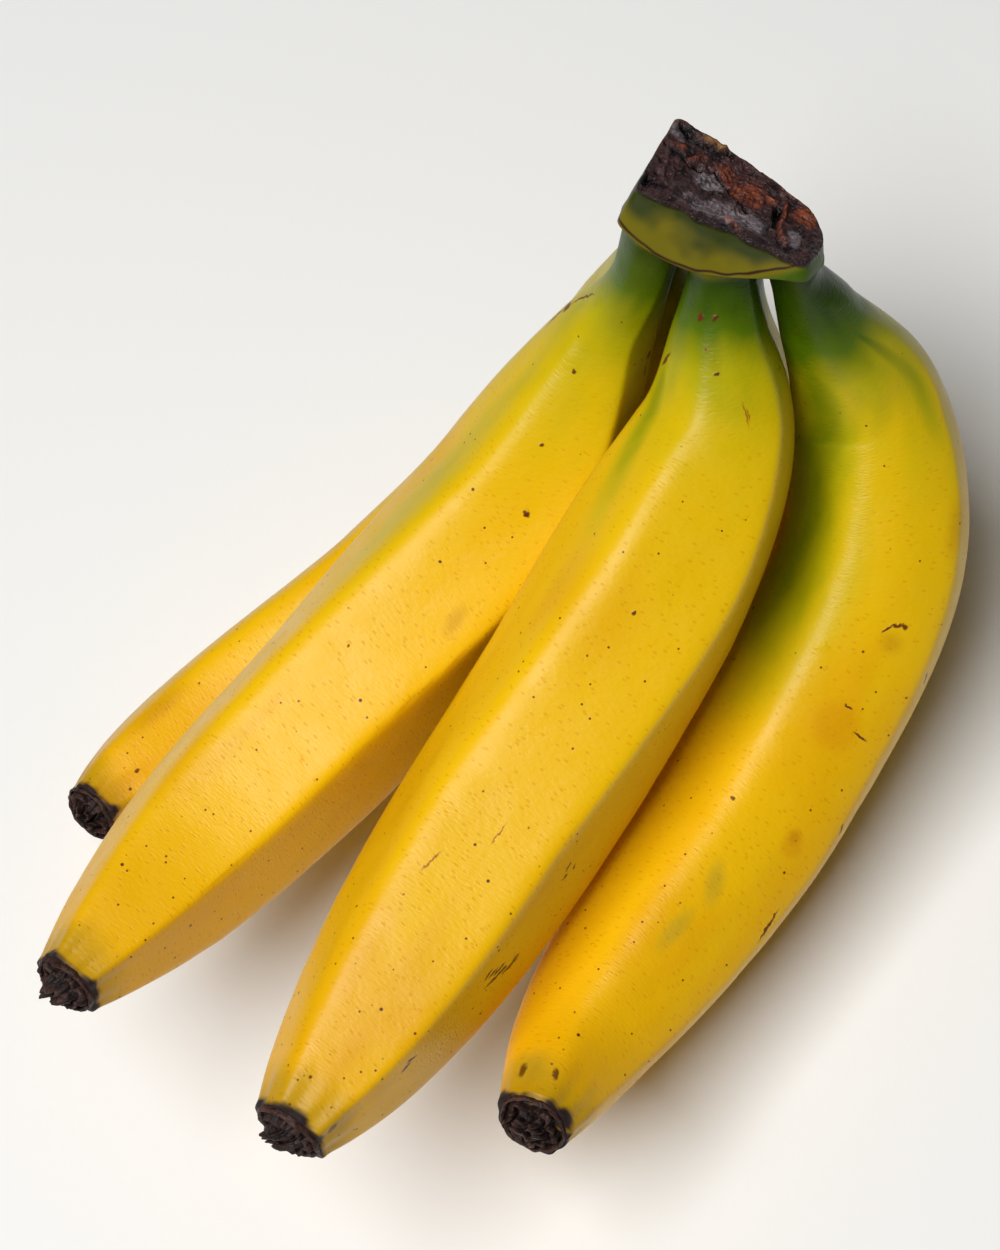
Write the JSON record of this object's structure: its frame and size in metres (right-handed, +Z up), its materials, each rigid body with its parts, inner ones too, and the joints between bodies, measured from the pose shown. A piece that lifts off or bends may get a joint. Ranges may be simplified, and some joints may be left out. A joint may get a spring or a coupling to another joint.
{
  "type": "banana bunch",
  "caption": "Bunch of ripe yellow bananas joined at a dry cut crown, curving away to dark blossom tips and resting on the backs of the outer ones.",
  "frame": {"origin": "on the surface that the bunch lies on, in the middle of its box", "axes": "+Z up from that surface, +Y from the blossom tips towards the cut crown, +X to the right as seen from the tips"},
  "size_m": [0.1416, 0.1872, 0.1281],
  "materials": {
    "banana_skin": "smooth, softly waxy ripe peel, green at the neck and brown at the tip",
    "crown_skin": "dull olive skin with a dried purple-black cut face",
    "blossom_husk": "dry, dull, almost black"
  },
  "bodies": {
    "root": {"crown": "crown_skin", "banana_inner_left": "banana_skin", "blossom_end_inner_left": "blossom_husk", "banana_inner_middle": "banana_skin", "blossom_end_inner_middle": "blossom_husk", "banana_inner_right": "banana_skin", "blossom_end_inner_right": "blossom_husk", "banana_outer_left": "banana_skin", "blossom_end_outer_left": "blossom_husk", "banana_outer_right": "banana_skin", "blossom_end_outer_right": "blossom_husk"}
  },
  "joints": []
}
